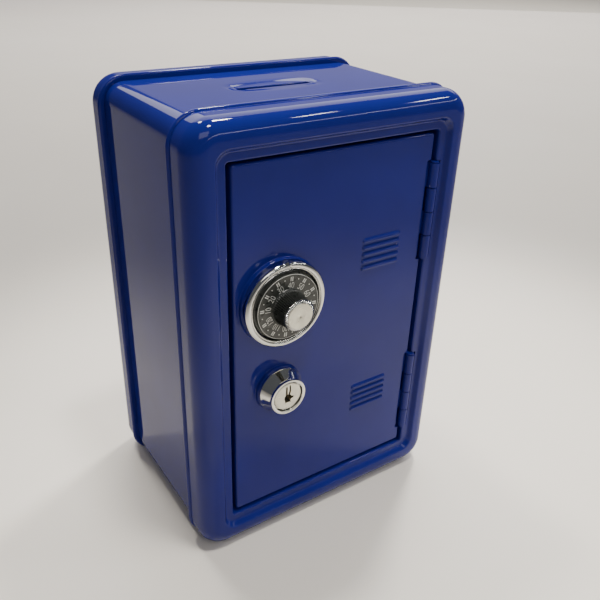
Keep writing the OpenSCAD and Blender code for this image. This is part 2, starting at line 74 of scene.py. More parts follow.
SHEET = 0.8
HALF_W = FRAME_HIGH.x
BODY_H = FRAME_HIGH.z
CREST_Y = FRAME_LOW.y
BACK_Y = BACK_HIGH.y
FRONT_CAP_D = FRAME_HIGH.y - FRAME_LOW.y
BACK_CAP_D = BACK_HIGH.y - BACK_LOW.y
CAP_PROUD = HALF_W - SLEEVE_HIGH.x
CAP_CORNER_R = 12.0
CAP_EDGE_R = 8.0
SLEEVE_R = 8.0
FRAME_W = 15.0
LEDGE_DEPTH = 2.2
JAMB_DEPTH = 11.0
DOOR_FLANGE = 7.0
DOOR_Y = DOOR_HIGH.y - DOOR_FLANGE
BOSS_H = DOOR_Y - DOOR_LOW.y
DIAL = middle_of("dial_plate")
LOCK = middle_of("lock_housing")
HINGES = [middle_of("hinge_pin_lower"), middle_of("hinge_pin_upper")]
BARREL_L = 40.0

# ---------- outlines and meshes ----------

SMOOTH_ANGLE = 32
WELD_DISTANCE = 0.002


def arc(centre, radius, start, end, steps):
    """Points of an arc between two angles in degrees, both ends included."""
    points = []
    for step in range(steps + 1):
        angle = math.radians(start + (end - start) * step / steps)
        points.append((centre[0] + radius * math.cos(angle), centre[1] + radius * math.sin(angle)))
    return points


def between(x, table):
    """Straight-line value at x in a rising table of (x, value) pairs."""
    for (x0, y0), (x1, y1) in zip(table, table[1:]):
        if x <= x1:
            share = max(0.0, (x - x0) / (x1 - x0))
            return y0 + (y1 - y0) * share
    return table[-1][1]


def rounded_rect(half_w, half_h, radius, steps=12):
    """A rectangle with round corners, centred on the origin, anticlockwise from the right."""
    points = []
    for quarter, (side, end) in enumerate([(1, 1), (-1, 1), (-1, -1), (1, -1)]):
        centre = (side * (half_w - radius), end * (half_h - radius))
        points += arc(centre, radius, 90 * quarter, 90 * quarter + 90, steps)
    return points


class Shape:
    """Points in millimetres and faces that become one mesh."""

    def __init__(self):
        self.points = []
        self.faces = []

    def add(self, points, faces):
        first = len(self.points)
        self.points += [Vector(p) for p in points]
        self.faces += [tuple(first + i for i in face) for face in faces]

    def skin(self, loops, close_rows=False, close_ring=True):
        """Quads between neighbouring loops that have the same number of points."""
        count = len(loops[0])
        rows = len(loops)
        faces = []
        for row in range(rows if close_rows else rows - 1):
            after = (row + 1) % rows
            for i in range(count if close_ring else count - 1):
                j = (i + 1) % count
                here = row * count
                there = after * count
                faces.append((here + i, here + j, there + j, there + i))
        self.add([p for loop in loops for p in loop], faces)

    def cap(self, loop):
        self.add(loop, [tuple(range(len(loop)))])

    def object(self, name, smooth_angle=SMOOTH_ANGLE):
        """The shape as a clean, smooth-shaded object with outward normals."""
        mesh = bpy.data.meshes.new(name)
        mesh.from_pydata([p * MM for p in self.points], [], self.faces)
        bm = bmesh.new()
        bm.from_mesh(mesh)
        bmesh.ops.remove_doubles(bm, verts=bm.verts, dist=WELD_DISTANCE * MM)
        bmesh.ops.recalc_face_normals(bm, faces=bm.faces)
        bm.to_mesh(mesh)
        bm.free()
        mesh.shade_smooth()
        mesh.set_sharp_from_angle(angle=math.radians(smooth_angle))
        obj = bpy.data.objects.new(name, mesh)
        bpy.context.scene.collection.objects.link(obj)
        return obj


def bake_modifiers(obj):
    """Replaces the mesh by its evaluated form and clears the modifiers."""
    graph = bpy.context.evaluated_depsgraph_get()
    mesh = bpy.data.meshes.new_from_object(obj.evaluated_get(graph))
    obj.modifiers.clear()
    obj.data = mesh
    mesh.shade_smooth()
    mesh.set_sharp_from_angle(angle=math.radians(SMOOTH_ANGLE))


def even_normals(obj):
    """Lets the large faces decide the shading, so that flat sheet stays flat."""
    modifier = obj.modifiers.new("even_normals", "WEIGHTED_NORMAL")
    modifier.keep_sharp = True
    modifier.weight = 60


def cut_away(obj, cutters):
    """Takes the cutters' volume off an object."""
    for cutter in cutters:
        modifier = obj.modifiers.new("cut", "BOOLEAN")
        modifier.operation = "DIFFERENCE"
        modifier.solver = "EXACT"
        modifier.object = cutter
    bake_modifiers(obj)
    for cutter in cutters:
        bpy.data.objects.remove(cutter)


def soften_edges(obj, width):
    """A small rounding on every edge sharper than 50 degrees."""
    modifier = obj.modifiers.new("soft_edges", "BEVEL")
    modifier.width = width * MM
    modifier.segments = 2
    modifier.limit_method = "ANGLE"
    modifier.angle_limit = math.radians(50)


def on_door(axis, u, v, f):
    """A point of the door's (u, v, f) system around an axis, in the shared frame."""
    return Vector((axis.x + u, DOOR_Y - f, axis.z + v))


def ring(axis, radius, f, steps, wave=None):
    """A circle in front of the door; wave(angle) returns changes of radius and of f."""
    loop = []
    for step in range(steps):
        angle = 2 * math.pi * step / steps
        out, up = wave(angle) if wave else (0, 0)
        u = (radius + out) * math.sin(angle)
        v = (radius + out) * math.cos(angle)
        loop.append(on_door(axis, u, v, f + up))
    return loop


def revolve(axis, profile, steps, closed=True, wave=None):
    """A body of revolution around a door axis from (radius, f) pairs."""
    shape = Shape()
    loops = []
    for radius, f in profile:
        change = (lambda angle, r=radius, h=f: wave(angle, r, h)) if wave else None
        loops.append(ring(axis, radius, f, steps, change))
    shape.skin(loops, close_rows=closed)
    if not closed:
        for end in (0, -1):
            if profile[end][0] > 0:
                shape.cap(loops[end])
    return shape


def prism(outline, axis, f0, f1):
    """A straight cutting prism on the door from an outline of (u, v) points."""
    shape = Shape()
    loops = [[on_door(axis, u, v, f) for u, v in outline] for f in (f0, f1)]
    shape.skin(loops)
    for loop in loops:
        shape.cap(loop)
    return shape.object("cutter")


def block(low, high, name="cutter"):
    """A box between two corners."""
    x0, y0, z0 = low
    x1, y1, z1 = high
    shape = Shape()
    loops = [[(x0, y0, z), (x1, y0, z), (x1, y1, z), (x0, y1, z)] for z in (z0, z1)]
    shape.skin(loops)
    for loop in loops:
        shape.cap(loop)
    return shape.object(name)


# ---------- materials ----------


class Finish:
    """A node material around one Principled shader, patterned in object space."""

    def __init__(self, name, **settings):
        self.material = bpy.data.materials.new(name)
        self.material.use_nodes = True
        self.tree = self.material.node_tree
        self.shader = self.tree.nodes["Principled BSDF"]
        for socket, value in settings.items():
            self.shader.inputs[socket.replace("_", " ")].default_value = value

    def node(self, kind, **inputs):
        node = self.tree.nodes.new(kind)
        for socket, value in inputs.items():
            node.inputs[socket.replace("_", " ")].default_value = value
        return node

    def link(self, source, target):
        self.tree.links.new(source, target)

    def coordinates(self, stretch):
        """The object's own coordinates, stretched along each axis."""
        coords = self.node("ShaderNodeTexCoord")
        mapping = self.node("ShaderNodeMapping", Scale=stretch)
        self.link(coords.outputs["Object"], mapping.inputs["Vector"])
        return mapping.outputs["Vector"]

    def noise(self, scale, detail=2.0, stretch=(1, 1, 1)):
        node = self.node("ShaderNodeTexNoise", Scale=scale, Detail=detail)
        self.link(self.coordinates(stretch), node.inputs["Vector"])
        return node.outputs[0]

    def cells(self, scale):
        node = self.node("ShaderNodeTexVoronoi", Scale=scale)
        self.link(self.coordinates((1, 1, 1)), node.inputs["Vector"])
        return node.outputs["Color"]

    def colours(self, value, dark, light, low=0.35, high=0.65):
        """Base colour that wanders between two colours."""
        ramp = self.node("ShaderNodeValToRGB")
        ramp.color_ramp.elements[0].position = low
        ramp.color_ramp.elements[1].position = high
        ramp.color_ramp.elements[0].color = (*dark, 1)
        ramp.color_ramp.elements[1].color = (*light, 1)
        self.link(value, ramp.inputs["Fac"])
        self.link(ramp.outputs["Color"], self.shader.inputs["Base Color"])

    def spread(self, value, low, high):
        """Roughness that wanders between two values."""
        node = self.node("ShaderNodeMapRange")
        node.inputs["From Min"].default_value = 0.3
        node.inputs["From Max"].default_value = 0.7
        node.inputs["To Min"].default_value = low
        node.inputs["To Max"].default_value = high
        self.link(value, node.inputs["Value"])
        self.link(node.outputs["Result"], self.shader.inputs["Roughness"])

    def bump(self, value, strength, height, over=None, socket="Normal"):
        """Adds relief of a height in millimetres, on top of an earlier bump."""
        node = self.node("ShaderNodeBump", Strength=strength, Distance=height * MM)
        self.link(value, node.inputs["Height"])
        if over:
            self.link(over, node.inputs["Normal"])
        self.link(node.outputs["Normal"], self.shader.inputs[socket])
        return node.outputs["Normal"]


def blue_enamel():
    """Glossy royal-blue enamel with a faint orange peel."""
    finish = Finish("blue_enamel", Coat_Weight=0.58, Coat_Roughness=0.03, Coat_IOR=1.46)
    finish.shader.inputs["Specular IOR Level"].default_value = 0.0
    finish.colours(finish.noise(22, 3), (0.0085, 0.0125, 0.160), (0.0105, 0.0155, 0.190))
    finish.spread(finish.noise(60, 2), 0.45, 0.55)
    peel = finish.noise(420, 1.5)
    drift = finish.noise(55, 1)
    base = finish.bump(peel, 0.25, 0.020)
    finish.bump(drift, 0.25, 0.08, over=base)
    coat = finish.bump(peel, 0.20, 0.012, socket="Coat Normal")
    finish.bump(drift, 0.30, 0.08, over=coat, socket="Coat Normal")
    return finish.material


def chrome():
    """Polished plating over slightly uneven die-cast metal."""
    finish = Finish("chrome", Metallic=1.0)
    finish.colours(finish.noise(90, 3), (0.62, 0.62, 0.60), (0.70, 0.70, 0.67))
    finish.spread(finish.noise(300, 3), 0.05, 0.11)
    finish.bump(finish.noise(110, 2), 0.15, 0.02)
    return finish.material


def satin_nickel():
    """Fine-grained plating on the plug's face and the knob's cap."""
    finish = Finish("satin_nickel", Metallic=1.0)
    finish.colours(finish.noise(240, 4), (0.56, 0.545, 0.47), (0.66, 0.645, 0.56))
    finish.spread(finish.noise(900, 3), 0.26, 0.38)
    finish.bump(finish.noise(1800, 3), 0.3, 0.008)
    return finish.material


def zinc_steel():
    """Bright zinc-plated steel with faint spangle and tool marks."""
    finish = Finish("zinc_steel", Metallic=1.0)
    finish.colours(finish.cells(260), (0.45, 0.47, 0.49), (0.60, 0.61, 0.60), 0.1, 0.9)
    finish.spread(finish.noise(500, 4), 0.24, 0.42)
    finish.bump(finish.noise(700, 3, stretch=(1, 1, 6)), 0.3, 0.01)
    return finish.material


def brass():
    """Turned brass, a little dull."""
    finish = Finish("brass", Metallic=1.0)
    finish.colours(finish.noise(120, 4), (0.52, 0.36, 0.14), (0.66, 0.48, 0.21))
    finish.spread(finish.noise(450, 3), 0.22, 0.40)
    finish.bump(finish.noise(1200, 2), 0.3, 0.008)
    return finish.material


def black_plastic():
    """Moulded black plastic with a fine satin grain."""
    finish = Finish("black_plastic", IOR=1.5)
    finish.colours(finish.noise(150, 3), (0.026, 0.029, 0.026), (0.040, 0.043, 0.039))
    finish.spread(finish.noise(600, 3), 0.24, 0.36)
    finish.bump(finish.noise(2200, 2), 0.3, 0.01)
    return finish.material


def silver_paint():
    """Silver paint of the dial's figures and marks."""
    finish = Finish("silver_paint", Metallic=0.2)
    finish.colours(finish.noise(1500, 3), (0.60, 0.61, 0.58), (0.76, 0.77, 0.73))
    finish.spread(finish.noise(2500, 2), 0.35, 0.5)
    return finish.material


def pale_floor():
    """A plain pale tabletop with a soft sheen."""
    finish = Finish("pale_floor", IOR=1.45)
    finish.colours(finish.noise(4, 2), (0.90, 0.84, 0.75), (0.92, 0.865, 0.775))
    finish.spread(finish.noise(30, 3), 0.32, 0.42)
    finish.bump(finish.noise(500, 2), 0.1, 0.01)
    return finish.material


ENAMEL = blue_enamel()
CHROME = chrome()
NICKEL = satin_nickel()
STEEL = zinc_steel()
BRASS = brass()
BLACK = black_plastic()
SILVER = silver_paint()


def place(obj, material, body, slot, *nodes):
    """Gives a piece its finish and body, and hides the CAD nodes it stands for."""
    obj.data.materials.clear()
    obj.data.materials.append(material)
    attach(obj, body)
    if nodes:
        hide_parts(*nodes)


# ---------- cabinet ----------

# Distances from the front cap's outer edge to the end of its flat crest and to the cove.
CREST_INSET = 9.6
COVE_INSET = 12.0
# Corner radius of the front frame's outline against the distance from its outer edge.
FRAME_CORNERS = [
    (0, CAP_CORNER_R),
    (CAP_EDGE_R, 4.0),
    (CREST_INSET, 5.8),
    (COVE_INSET, 5.2),
    (14.2, 1.8),
    (FRAME_W, 1.0),
]
LIP_GAP = 0.05
# A bead runs around the lip of each cap; the side wall in front of it lies BEAD_H lower.
BEAD_R = 1.1
BEAD_H = 0.8


def cabinet_loop(inset, depth_y, radius):
    """The cabinet's outline at one depth, moved inwards by the inset."""
    outline = rounded_rect(HALF_W - inset, BODY_H / 2 - inset, radius, 14)
    return [(x, depth_y, z + BODY_H / 2) for x, z in outline]


def cap_edge(wall_d):
    """Lip, side wall and rounded edge of a cap, as (inset, depth, corner radius)."""
    bead_foot = 0.25
    bead_end = 180 + math.degrees(math.acos((BEAD_R - BEAD_H) / BEAD_R))
    bead = arc((BEAD_R, wall_d - BEAD_R), BEAD_R, 90, bead_end, 12)
    lip = [(CAP_PROUD - LIP_GAP, wall_d)] + bead + [(BEAD_H, bead[-1][1] - bead_foot)]
    edge_r = CAP_EDGE_R - BEAD_H
    edge = arc((CAP_EDGE_R, edge_r), edge_r, 180, 270, 16)
    rows = [(inset, depth, CAP_CORNER_R - inset) for inset, depth in lip + edge]
    rows[0] = (rows[0][0], rows[0][1], SLEEVE_R + LIP_GAP)
    return rows


def cap_inside(wall_d):
    """The inner face of the same stretch, from the crest back to the lip."""
    edge_r = CAP_EDGE_R - BEAD_H
    edge = arc((CAP_EDGE_R, edge_r), edge_r - SHEET, 270, 180, 8)
    rows = [(inset, depth, CAP_CORNER_R - inset) for inset, depth in edge]
    wall = BEAD_H + SHEET
    rows.append((wall, wall_d - SHEET, CAP_CORNER_R - wall))
    rows.append((CAP_PROUD - LIP_GAP, wall_d - SHEET, SLEEVE_R + LIP_GAP))
    return rows


def build_front_frame():
    """Front cap: rounded edge, crest, cove, ledge, and the jamb around the doorway."""
    shoulder_r = 0.9
    cove_r = 1.0
    shoulder = arc((CREST_INSET, shoulder_r), shoulder_r, 270, 330, 4)
    cove = arc((COVE_INSET, LEDGE_DEPTH - cove_r), cove_r, 150, 90, 4)
    lip = arc((FRAME_W - SHEET, LEDGE_DEPTH + SHEET), SHEET, 270, 360, 5)
    behind = [
        (FRAME_W, JAMB_DEPTH),
        (FRAME_W - SHEET, JAMB_DEPTH),
        (FRAME_W - SHEET, LEDGE_DEPTH + SHEET),
        (11.6, LEDGE_DEPTH + SHEET),
        (9.9, 1.4),
        (9.2, SHEET),
    ]
    inner = [(i, d, between(i, FRAME_CORNERS)) for i, d in shoulder + cove + lip + behind]
    rows = cap_edge(FRONT_CAP_D) + inner + cap_inside(FRONT_CAP_D)
    shape = Shape()
    shape.skin([cabinet_loop(i, CREST_Y + d, r) for i, d, r in rows], close_rows=True)
    obj = shape.object("front_cap")
    doorway_x = HALF_W - FRAME_W
    recess_w = 2.3
    recess_behind_pin = 2.4
    reach = BARREL_L / 2 + 0.6
    cutters = []
    for pin in HINGES:
        low = (doorway_x - 1, CREST_Y - 1, pin.z - reach)
        high = (doorway_x + recess_w, pin.y + recess_behind_pin, pin.z + reach)
        cutters.append(block(low, high))
    cut_away(obj, cutters)
    even_normals(obj)
    place(obj, ENAMEL, "cabinet", "blue_enamel", "front_frame")


def build_back_cap():
    """Back cap: the same edge as the front cap, closed by a flat back."""
    rows = list(reversed(cap_edge(BACK_CAP_D))) + list(reversed(cap_inside(BACK_CAP_D)))
    loops = [cabinet_loop(i, BACK_Y - d, r) for i, d, r in rows]
    shape = Shape()
    shape.skin(loops)
    shape.cap(loops[0])
    shape.cap(loops[-1])
    obj = shape.object("back_cap")
    even_normals(obj)
    place(obj, ENAMEL, "cabinet", "blue_enamel", "back_cover")


# ---------- coin slot and sleeve ----------

SLOT_X = -1.3
SLOT_Y = (CREST_Y + BACK_Y) / 2 + 1
SLOT_HALF_L = 16.0
SLOT_HALF_W = 1.5
SLOT_ROLL = 0.5
DISH_HALF_L = 21.0
DISH_HALF_W = 11.0
DISH_DEPTH = 0.5
DISH_END = 5.0


def ease(share):
    """A soft step: 0 up to 0, 1 from 1 on, level at both ends."""
    share = min(1.0, max(0.0, share))
    return share * share * (3 - 2 * share)


def dish_drop(x, y):
    """How far the pressed dish lies below the flat top."""
    bow = math.sqrt(max(0.1, 1 - ((x - SLOT_X) / (DISH_HALF_L + 2)) ** 2))
    along = (DISH_HALF_L - abs(x - SLOT_X)) / DISH_END
    across = 1.15 * (1 - abs(y - SLOT_Y) / (DISH_HALF_W * bow))
    return DISH_DEPTH * ease(along) * ease(across)


def slot_roll(x, y):
    """How far the rolled edge of the slot turns down."""
    past_end = max(0.0, abs(x - SLOT_X) - SLOT_HALF_L)
    past_side = max(0.0, abs(y - SLOT_Y) - SLOT_HALF_W)
    away = math.hypot(past_end, past_side)
    if away >= SLOT_ROLL:
        return 0.0
    return SLOT_ROLL - math.sqrt(SLOT_ROLL ** 2 - (SLOT_ROLL - away) ** 2)


def stations(middle, slot_half, dish_half, inner_step, outer):
    """Grid lines on both sides of the slot: fine at its edge, even over the dish."""
    roll = [slot_half + SLOT_ROLL * s for s in (0, 0.06, 0.2, 0.45, 0.75, 1)]
    count = int(slot_half // inner_step)
    inside = [slot_half * i / (count + 1) for i in range(1, count + 1)] if count else []
    dish_steps = 9
    start = roll[-1]
    dish = [start + (dish_half - start) * s / dish_steps for s in range(1, dish_steps + 1)]
    half = inside + roll + dish
    lines = {round(middle + s * h, 4) for h in half for s in (-1, 1)} | {round(middle, 4)}
    return sorted(lines | set(outer))


def build_sleeve():
    """The wrap-around body with the coin slot pressed into its top."""
    half_w = HALF_W - CAP_PROUD
    top = BODY_H - CAP_PROUD
    edge_x = half_w - SLEEVE_R
    xs = stations(SLOT_X, SLOT_HALF_L, DISH_HALF_L, 1.6, [-40, -30, 30, 40])
    ys = stations(SLOT_Y, SLOT_HALF_W, DISH_HALF_W, 5, [SLEEVE_LOW.y, -20, 31, SLEEVE_HIGH.y])
    xs = [x for x in xs if abs(x) < edge_x]
    steps = 12

    def loop(y, sink, roll):
        points = rounded_rect(half_w - sink, BODY_H / 2 - CAP_PROUD - sink, SLEEVE_R - sink, steps)
        points = [(x, y, z + BODY_H / 2) for x, z in points]
        lid = []
        for x in reversed(xs):
            drop = dish_drop(x, y) + (slot_roll(x, y) if roll else 0)
            lid.append((x, y, top - sink - drop))
        return points[:steps + 1] + lid + points[steps + 1:]

    outer = [loop(y, 0, True) for y in ys]
    inner = [loop(y, SHEET, False) for y in ys]
    count = len(outer[0])
    first = steps + 1
    slot_x = SLOT_HALF_L + 0.001
    slot_y = SLOT_HALF_W + 0.001
    slot_columns = [first + i for i, x in enumerate(reversed(xs)) if abs(x - SLOT_X) <= slot_x]
    slot_rows = [i for i, y in enumerate(ys) if abs(y - SLOT_Y) <= slot_y]
    columns = range(slot_columns[0], slot_columns[-1])
    rows = range(slot_rows[0], slot_rows[-1])
    shape = Shape()
    for grid in (outer, inner):
        faces = []
        for row in range(len(ys) - 1):
            for i in range(count):
                if row in rows and i in columns:
                    continue
                j = (i + 1) % count
                here = row * count
                there = here + count
                faces.append((here + i, here + j, there + j, there + i))
        shape.add([p for line in grid for p in line], faces)
    for end in (0, -1):
        shape.skin([outer[end], inner[end]])
    walk = [(slot_rows[0], i) for i in slot_columns]
    walk += [(row, slot_columns[-1]) for row in slot_rows[1:]]
    walk += [(slot_rows[-1], i) for i in reversed(slot_columns[:-1])]
    walk += [(row, slot_columns[0]) for row in reversed(slot_rows[1:-1])]
    shape.skin([[outer[row][i] for row, i in walk], [inner[row][i] for row, i in walk]])
    obj = shape.object("sleeve")
    even_normals(obj)
    place(obj, ENAMEL, "cabinet", "blue_enamel", "body_sleeve")


# ---------- door ----------

DOOR_EDGE_R = 0.9
DIAL_BOSS_R = 17.1
LOCK_BOSS_R = 10.0
NOTCH_DEPTH = 2.4
NOTCH_SPARE = 1.0
RIB_L = 18.4
RIB_R = 0.95
RIB_X = 22.0
RIB_PITCH = 2.9
RIB_COUNT = 5
RIB_STARTS = (46.0, 114.1)


def stadium(x, z, half, radius, steps=8):
    """A slot-shaped outline around a level line of 2 * half."""
    return arc((x + half, z), radius, -90, 90, steps) + arc((x - half, z), radius, 90, 270, steps)


def boss_loops(axis, radius, hole_r, steps):
    """Fillet, rounded shoulder and flat top of a pressed boss."""
    foot_r = 0.4
    shoulder_r = 0.65
    foot = arc((radius + foot_r, foot_r), foot_r, 270, 180, 4)
    shoulder = arc((radius - shoulder_r, BOSS_H - shoulder_r), shoulder_r, 0, 90, 5)
    profile = foot + shoulder
    profile.append((hole_r, BOSS_H))
    return [ring(axis, r, f, steps) for r, f in profile]


def rib_loops(x, z):
    """Foot and dome of one louvre rib."""
    foot = [(1.45, 0.0), (1.12, 0.08)]
    dome = arc((0, 0), RIB_R, 20, 80, 3)
    half = RIB_L / 2 - RIB_R
    loops = []
    for reach, f in foot + dome:
        loops.append([(px, DOOR_Y - f, pz) for px, pz in stadium(x, z, half, reach)])
    return loops


def fill_face(shape, outer, holes):
    """Fills the flat face between an outline and its holes with triangles."""
    points = []
    edges = []
    for loop in [outer] + holes:
        first = len(points)
        points += [Vector((p[0], p[2])) for p in loop]
        edges += [(first + i, first + (i + 1) % len(loop)) for i in range(len(loop))]
    inside_with_holes = 4
    result = delaunay_2d_cdt(points, edges, [], inside_with_holes, 1e-5)
    shape.add([(p.x, outer[0][1], p.y) for p in result[0]], [tuple(face) for face in result[2]])


def build_door():
    """Pressed door pan with two bosses, two rows of louvre ribs and the hinge notches."""
    middle_x = (DOOR_LOW.x + DOOR_HIGH.x) / 2
    middle_z = (DOOR_LOW.z + DOOR_HIGH.z) / 2
    half_w = (DOOR_HIGH.x - DOOR_LOW.x) / 2
    half_h = (DOOR_HIGH.z - DOOR_LOW.z) / 2
    corner_r = 1.3
    edge = [(0.0, DOOR_FLANGE)] + arc((DOOR_EDGE_R, DOOR_EDGE_R), DOOR_EDGE_R, 180, 270, 5)
    loops = []
    for inset, depth in edge:
        outline = rounded_rect(half_w - inset, half_h - inset, corner_r - inset, 5)
        loops.append([(x + middle_x, DOOR_Y + depth, z + middle_z) for x, z in outline])
    shape = Shape()
    shape.skin(loops)
    holes = []
    bush_hole_r = 4.0
    lock_hole_r = 7.0
    bosses = [(DIAL, DIAL_BOSS_R, bush_hole_r, 96), (LOCK, LOCK_BOSS_R, lock_hole_r, 72)]
    for axis, radius, hole_r, steps in bosses:
        boss = boss_loops(axis, radius, hole_r, steps)
        shape.skin(boss)
        holes.append(boss[0])
    for start in RIB_STARTS:
        for i in range(RIB_COUNT):
            rib = rib_loops(RIB_X, start + i * RIB_PITCH)
            shape.skin(rib)
            shape.cap(rib[-1])
            holes.append(rib[0])
    fill_face(shape, loops[-1], holes)
    obj = shape.object("door_skin")
    thickness = obj.modifiers.new("sheet", "SOLIDIFY")
    thickness.thickness = SHEET * MM
    thickness.offset = -1
    thickness.use_even_offset = True
    bake_modifiers(obj)
    cutters = []
    for pin in HINGES:
        reach = BARREL_L / 2 + NOTCH_SPARE
        outline = rounded_rect(NOTCH_DEPTH + 1, reach, 0.9, 5)
        shift = DOOR_HIGH.x + 1 - DIAL.x
        outline = [(u + shift, v + pin.z - DIAL.z) for u, v in outline]
        cutters.append(prism(outline, DIAL, 2, -DOOR_FLANGE - 2))
    cut_away(obj, cutters)
    even_normals(obj)
    place(obj, ENAMEL, "door", "blue_enamel", "door_panel")


def build_bridge_studs():
    """Weld studs that hold the wheel bridge."""
    stud_r = 1.25
    stud_at = 22.7
    stud_end = -6.0
    for name, side in (("lower", -1), ("upper", 1)):
        axis = DIAL + Vector((0, 0, side * stud_at))
        rod = [(0, -SHEET), (stud_r, -SHEET), (stud_r, stud_end + 0.3)]
        profile = rod + [(stud_r - 0.3, stud_end), (0, stud_end)]
        obj = revolve(axis, profile, 24, closed=False).object("bridge_stud_" + name)
        place(obj, STEEL, "door", "zinc_steel")


# ---------- dial ----------

DIAL_TURN = 5.5
DIAL_FACE = 6.1
MARK_LIFT = 0.07
FLUTES = 54


def tent(angle, width):
    """1 at the top of the dial, falling to 0 at +-width degrees."""
    off = abs((math.degrees(angle) + 180) % 360 - 180)
    return max(0.0, 1 - off / width)


def build_bezel():
    """Chrome bezel: rounded outer bulge, shallow valley, thin inner lip, index ridge on top."""
    bulge = [(17.0, 3.2), (17.0, 3.9), (16.88, 4.5), (16.55, 5.0), (16.1, 5.3), (15.6, 5.4)]
    bulge += [(15.1, 5.32), (14.85, 5.12)]
    valley = [(14.74, 4.85), (14.62, 4.85)]
    lip = [(14.52, 5.02), (14.36, 5.08), (14.2, 4.98), (14.1, 4.7), (14.0, 4.2)]
    foot = [(14.0, BOSS_H), (16.8, BOSS_H), (17.0, BOSS_H + 0.2)]

    def index_ridge(angle, radius, f):
        rise = tent(angle, 4.5)
        outwards = between(radius, [(14.6, 0), (17, 0.9)])
        upwards = between(f, [(3.2, 0), (4.8, 0.7)])
        return (rise * outwards, rise * upwards) if f > 3.1 else (0, 0)

    shape = revolve(DIAL, bulge + valley + lip + foot, 320, wave=index_ridge)
    stud_at = 14.9
    stud_profile = [(0, BOSS_H), (0.7, BOSS_H), (0.7, -3.0), (0.5, -3.3), (0, -3.3)]
    for side in (-1, 1):
        axis = DIAL + Vector((side * stud_at, 0, 0))
        stud = revolve(axis, stud_profile, 20, closed=False)
        shape.add(stud.points, stud.faces)
    obj = shape.object("bezel_ring", 40)
    even_normals(obj)
    place(obj, CHROME, "door", "chrome", "dial_bezel")


def build_dial_plate():
    """Black dial with a stepped edge, a low hub, and a fine silver rim line that is a painted highlight
    for the shine on its rounded edge.
    """
    back = 2.6
    profile = [(2.0, back), (13.5, back), (13.7, back + 0.2), (13.7, 4.2), (13.4, 4.5), (13.0, 4.6)]
    profile += arc((12.6, 5.75), 0.35, 0, 90, 5)
    profile += [(12.3, DIAL_FACE), (7.4, DIAL_FACE), (7.2, DIAL_FACE + 0.3), (2.0, DIAL_FACE + 0.3)]
    obj = revolve(DIAL, profile, 160).object("dial_disc")
    even_normals(obj)
    place(obj, BLACK, "dial", "black_plastic", "dial_plate")
    # The silver bead is a painted highlight: it stands in for the shine on the dial's rounded edge.
    bead = arc((12.72, 6.0), 0.11, 0, 315, 7)
    line = revolve(DIAL, bead, 160).object("dial_rim_painted_highlight", 60)
    place(line, SILVER, "dial", "satin_nickel")


def dial_frame(degrees, radius):
    """Placement on the dial's face: degrees clockwise from the top, tops pointing outwards."""
    turn = Matrix.Rotation(math.radians(-degrees), 4, "Z")
    face = Matrix.Rotation(math.radians(90), 4, "X")
    spot = Matrix.Translation((DIAL.x, DOOR_Y - DIAL_FACE, DIAL.z))
    return spot @ face @ turn @ Matrix.Translation((0, radius, 0))


def add_plate(shape, outline, placement):
    """A thin raised mark with a closed back, from an outline in dial coordinates."""
    loops = [[placement @ Vector((x, y, z)) for x, y in outline] for z in (-0.05, MARK_LIFT)]
    shape.skin(loops)
    for loop in loops:
        shape.cap(loop)


def build_dial_marks():
    """Double bars at the figures and dots midway between them."""
    bars_r = 11.12
    bar = [(-0.19, -0.82), (0.19, -0.82), (0.19, 0.82), (-0.19, 0.82)]
    dot = arc((0, 0), 0.24, 0, 315, 7)
    shape = Shape()
    for i in range(12):
        placement = dial_frame(DIAL_TURN + 30 * i, bars_r)
        for side in (-1, 1):
            add_plate(shape, [(x + side * 0.37, y) for x, y in bar], placement)
        add_plate(shape, dot, dial_frame(DIAL_TURN + 30 * i + 15, bars_r))
    obj = shape.object("dial_marks")
    place(obj, SILVER, "dial", "satin_nickel")


def build_numerals():
    """Figures 10 to 120 around the dial, with 40 at the index."""
    figures_r = 8.5
    shape = Shape()
    for figure in range(10, 130, 10):
        curve = bpy.data.curves.new("figure", "FONT")
        curve.body = str(figure)
        curve.size = 3.5
        curve.align_x = "CENTER"
        curve.align_y = "CENTER"
        curve.extrude = MARK_LIFT / 2
        curve.offset = -0.045
        curve.resolution_u = 4
        text = bpy.data.objects.new("figure", curve)
        mesh = bpy.data.meshes.new_from_object(text)
        narrow = Matrix.Diagonal((0.78 if figure < 100 else 0.64, 1, 1, 1))
        placement = dial_frame(DIAL_TURN + 3 * (figure - 40), figures_r) @ narrow
        points = [placement @ (v.co + Vector((0, 0, MARK_LIFT / 2))) for v in mesh.vertices]
        shape.add(points, [tuple(p.vertices) for p in mesh.polygons])
        bpy.data.objects.remove(text)
    obj = shape.object("dial_numerals")
    place(obj, SILVER, "dial", "satin_nickel")


def flute(angle, depth):
    """Sharp-edged flutes around the knob."""
    phase = (angle * FLUTES / (2 * math.pi)) % 1
    return -depth * abs(math.sin(math.pi * phase))


